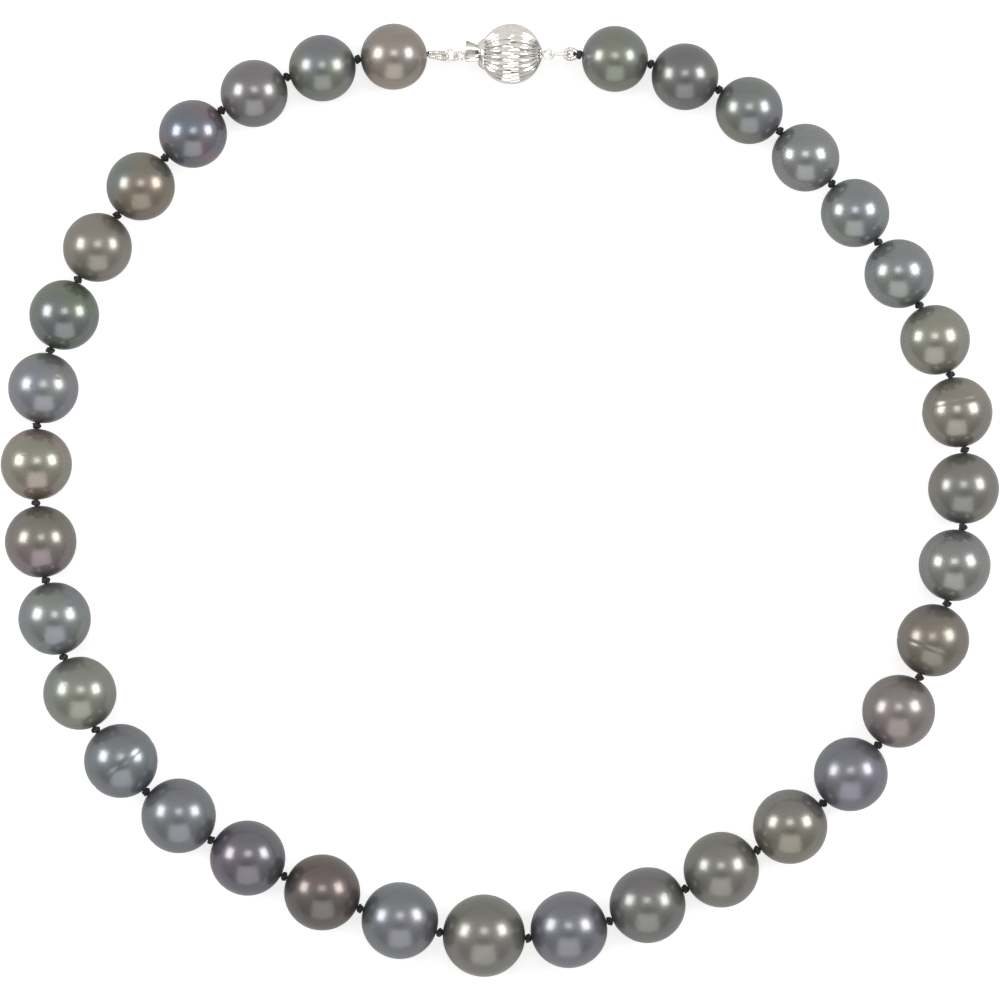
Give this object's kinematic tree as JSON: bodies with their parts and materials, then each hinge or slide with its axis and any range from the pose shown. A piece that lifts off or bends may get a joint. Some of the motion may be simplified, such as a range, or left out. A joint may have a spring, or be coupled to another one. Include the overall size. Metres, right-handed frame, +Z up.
{
  "type": "pearl necklace",
  "caption": "Graduated dark pearl necklace, knotted on black silk, with a fluted ball clasp and a spring tongue.",
  "frame": {"origin": "on the table, under the middle of the oval that the closed necklace lies in", "axes": "+Z up from the table, +Y towards the clasp, +X to the right along the clasp's length with its tongue at the left"},
  "size_m": [0.1604, 0.1532, 0.0133],
  "materials": {
    "pearl": "satin nacre, dark grey with green, blue and rose overtones",
    "silk": "black twisted silk",
    "coiled_wire": "bright coiled wire",
    "white_gold": "polished white metal",
    "fluted_gold": "polished fluted white metal"
  },
  "bodies": {
    "centre": {"pearl_18": "pearl", "silk_thread": "silk"},
    "strand_17": {"pearl_17": "pearl"},
    "strand_16": {"pearl_16": "pearl"},
    "strand_15": {"pearl_15": "pearl"},
    "strand_14": {"pearl_14": "pearl"},
    "strand_13": {"pearl_13": "pearl"},
    "strand_12": {"pearl_12": "pearl"},
    "strand_11": {"pearl_11": "pearl"},
    "strand_10": {"pearl_10": "pearl"},
    "strand_09": {"pearl_09": "pearl"},
    "strand_08": {"pearl_08": "pearl"},
    "strand_07": {"pearl_07": "pearl"},
    "strand_06": {"pearl_06": "pearl"},
    "strand_05": {"pearl_05": "pearl"},
    "strand_04": {"pearl_04": "pearl"},
    "strand_03": {"pearl_03": "pearl"},
    "strand_02": {"pearl_02": "pearl"},
    "strand_01": {"pearl_01": "pearl", "gimp_loop_left": "coiled_wire"},
    "strand_19": {"pearl_19": "pearl"},
    "strand_20": {"pearl_20": "pearl"},
    "strand_21": {"pearl_21": "pearl"},
    "strand_22": {"pearl_22": "pearl"},
    "strand_23": {"pearl_23": "pearl"},
    "strand_24": {"pearl_24": "pearl"},
    "strand_25": {"pearl_25": "pearl"},
    "strand_26": {"pearl_26": "pearl"},
    "strand_27": {"pearl_27": "pearl"},
    "strand_28": {"pearl_28": "pearl"},
    "strand_29": {"pearl_29": "pearl"},
    "strand_30": {"pearl_30": "pearl"},
    "strand_31": {"pearl_31": "pearl"},
    "strand_32": {"pearl_32": "pearl"},
    "strand_33": {"pearl_33": "pearl"},
    "strand_34": {"pearl_34": "pearl"},
    "strand_35": {"pearl_35": "pearl", "gimp_loop_right": "coiled_wire"},
    "link": {"link_ring": "white_gold"},
    "ball": {"ball_half_left": "fluted_gold", "ball_half_right": "fluted_gold", "slot_plate": "white_gold", "end_cap": "white_gold", "end_ring": "white_gold"},
    "tongue": {"tongue_plate": "white_gold", "tongue_eye": "white_gold"},
    "tab": {"thumb_tab": "white_gold", "tongue_leaf": "white_gold"},
    "jump_ring": {"jump_ring": "white_gold"}
  },
  "joints": [
    {"name": "knot_17", "type": "hinge", "parent": "centre", "child": "strand_17", "pos_m": [-0.00969, -0.06947, 0.0065], "axis": [0, 0, 1], "range_deg": [0, 2.85]},
    {"name": "knot_16", "type": "hinge", "parent": "strand_17", "child": "strand_16", "pos_m": [-0.02246, -0.06557, 0.00618], "axis": [0, 0, 1], "range_deg": [0, 18]},
    {"name": "knot_15", "type": "hinge", "parent": "strand_16", "child": "strand_15", "pos_m": [-0.03466, -0.06046, 0.00612], "axis": [0, 0, 1], "range_deg": [0, 18]},
    {"name": "knot_14", "type": "hinge", "parent": "strand_15", "child": "strand_14", "pos_m": [-0.04637, -0.05457, 0.00606], "axis": [0, 0, 1], "range_deg": [0, 18]},
    {"name": "knot_13", "type": "hinge", "parent": "strand_14", "child": "strand_13", "pos_m": [-0.05686, -0.04691, 0.006], "axis": [0, 0, 1], "range_deg": [0, 18]},
    {"name": "knot_12", "type": "hinge", "parent": "strand_13", "child": "strand_12", "pos_m": [-0.06492, -0.03687, 0.00594], "axis": [0, 0, 1], "range_deg": [0, 18]},
    {"name": "knot_11", "type": "hinge", "parent": "strand_12", "child": "strand_11", "pos_m": [-0.07006, -0.0252, 0.00588], "axis": [0, 0, 1], "range_deg": [0, 18]},
    {"name": "knot_10", "type": "hinge", "parent": "strand_11", "child": "strand_10", "pos_m": [-0.073, -0.01291, 0.00583], "axis": [0, 0, 1], "range_deg": [0, 18]},
    {"name": "knot_09", "type": "hinge", "parent": "strand_10", "child": "strand_09", "pos_m": [-0.07452, -0.00047, 0.00577], "axis": [0, 0, 1], "range_deg": [0, 18]},
    {"name": "knot_08", "type": "hinge", "parent": "strand_09", "child": "strand_08", "pos_m": [-0.07446, 0.01194, 0.00571], "axis": [0, 0, 1], "range_deg": [0, 18]},
    {"name": "knot_07", "type": "hinge", "parent": "strand_08", "child": "strand_07", "pos_m": [-0.07225, 0.02405, 0.00566], "axis": [0, 0, 1], "range_deg": [0, 18]},
    {"name": "knot_06", "type": "hinge", "parent": "strand_07", "child": "strand_06", "pos_m": [-0.06778, 0.0354, 0.00561], "axis": [0, 0, 1], "range_deg": [0, 18]},
    {"name": "knot_05", "type": "hinge", "parent": "strand_06", "child": "strand_05", "pos_m": [-0.06154, 0.04576, 0.00556], "axis": [0, 0, 1], "range_deg": [0, 18]},
    {"name": "knot_04", "type": "hinge", "parent": "strand_05", "child": "strand_04", "pos_m": [-0.05388, 0.055, 0.00551], "axis": [0, 0, 1], "range_deg": [0, 18]},
    {"name": "knot_03", "type": "hinge", "parent": "strand_04", "child": "strand_03", "pos_m": [-0.04478, 0.06266, 0.00546], "axis": [0, 0, 1], "range_deg": [0, 18]},
    {"name": "knot_02", "type": "hinge", "parent": "strand_03", "child": "strand_02", "pos_m": [-0.03426, 0.06801, 0.00541], "axis": [0, 0, 1], "range_deg": [0, 18]},
    {"name": "knot_01", "type": "hinge", "parent": "strand_02", "child": "strand_01", "pos_m": [-0.02287, 0.07078, 0.00537], "axis": [0, 0, 1], "range_deg": [0, 18], "deforming": ["silk_thread", "gimp_loop_left"]},
    {"name": "knot_18", "type": "hinge", "parent": "centre", "child": "strand_19", "pos_m": [0.00453, -0.07039, 0.0065], "axis": [0, 0, -1], "range_deg": [0, 18]},
    {"name": "knot_19", "type": "hinge", "parent": "strand_19", "child": "strand_20", "pos_m": [0.01758, -0.06761, 0.00618], "axis": [0, 0, -1], "range_deg": [0, 18]},
    {"name": "knot_20", "type": "hinge", "parent": "strand_20", "child": "strand_21", "pos_m": [0.02979, -0.0625, 0.00612], "axis": [0, 0, -1], "range_deg": [0, 18]},
    {"name": "knot_21", "type": "hinge", "parent": "strand_21", "child": "strand_22", "pos_m": [0.0413, -0.05624, 0.00606], "axis": [0, 0, -1], "range_deg": [0, 18]},
    {"name": "knot_22", "type": "hinge", "parent": "strand_22", "child": "strand_23", "pos_m": [0.05189, -0.04872, 0.006], "axis": [0, 0, -1], "range_deg": [0, 18]},
    {"name": "knot_23", "type": "hinge", "parent": "strand_23", "child": "strand_24", "pos_m": [0.06076, -0.03939, 0.00594], "axis": [0, 0, -1], "range_deg": [0, 18]},
    {"name": "knot_24", "type": "hinge", "parent": "strand_24", "child": "strand_25", "pos_m": [0.06733, -0.02846, 0.00588], "axis": [0, 0, -1], "range_deg": [0, 18]},
    {"name": "knot_25", "type": "hinge", "parent": "strand_25", "child": "strand_26", "pos_m": [0.07176, -0.01662, 0.00583], "axis": [0, 0, -1], "range_deg": [0, 18]},
    {"name": "knot_26", "type": "hinge", "parent": "strand_26", "child": "strand_27", "pos_m": [0.07431, -0.00435, 0.00577], "axis": [0, 0, -1], "range_deg": [0, 18]},
    {"name": "knot_27", "type": "hinge", "parent": "strand_27", "child": "strand_28", "pos_m": [0.07467, 0.00806, 0.00571], "axis": [0, 0, -1], "range_deg": [0, 18]},
    {"name": "knot_28", "type": "hinge", "parent": "strand_28", "child": "strand_29", "pos_m": [0.07233, 0.02014, 0.00566], "axis": [0, 0, -1], "range_deg": [0, 18]},
    {"name": "knot_29", "type": "hinge", "parent": "strand_29", "child": "strand_30", "pos_m": [0.06741, 0.0313, 0.00561], "axis": [0, 0, -1], "range_deg": [0, 18]},
    {"name": "knot_30", "type": "hinge", "parent": "strand_30", "child": "strand_31", "pos_m": [0.0608, 0.04143, 0.00556], "axis": [0, 0, -1], "range_deg": [0, 18]},
    {"name": "knot_31", "type": "hinge", "parent": "strand_31", "child": "strand_32", "pos_m": [0.05329, 0.05079, 0.00551], "axis": [0, 0, -1], "range_deg": [0, 18]},
    {"name": "knot_32", "type": "hinge", "parent": "strand_32", "child": "strand_33", "pos_m": [0.04491, 0.05924, 0.00546], "axis": [0, 0, -1], "range_deg": [0, 18]},
    {"name": "knot_33", "type": "hinge", "parent": "strand_33", "child": "strand_34", "pos_m": [0.03521, 0.06596, 0.00541], "axis": [0, 0, -1], "range_deg": [0, 18]},
    {"name": "knot_34", "type": "hinge", "parent": "strand_34", "child": "strand_35", "pos_m": [0.02424, 0.07008, 0.00537], "axis": [0, 0, -1], "range_deg": [0, 18], "deforming": ["gimp_loop_right"]},
    {"name": "link_swing", "type": "hinge", "parent": "strand_35", "child": "link", "pos_m": [0.01109, 0.07168, 0.0049], "axis": [0, 0, 1], "range_deg": [-25, 25]},
    {"name": "clasp_swing", "type": "hinge", "parent": "link", "child": "ball", "pos_m": [0.00809, 0.07168, 0.0049], "axis": [0, 0, 1], "range_deg": [-25, 25]},
    {"name": "tongue_slide", "type": "slide", "parent": "ball", "child": "tongue", "axis": [-1, 0, 0], "range_m": [0, 0.0071]},
    {"name": "tab_press", "type": "hinge", "parent": "tongue", "child": "tab", "pos_m": [0.00333, 0.07161, 0.00483], "axis": [0, -0.7071, 0.7071], "range_deg": [0, 5], "stiffness_Nm_per_rad": 0.02, "deforming": ["tongue_leaf"]},
    {"name": "jump_ring_swing", "type": "hinge", "parent": "tongue", "child": "jump_ring", "pos_m": [-0.00733, 0.0714, 0.00462], "axis": [0, 0.7071, -0.7071], "range_deg": [-40, 40]}
  ],
  "couplings": [
    {"joint": "tongue_slide", "follows": "knot_17", "m_per_rad": 0.14115}
  ]
}
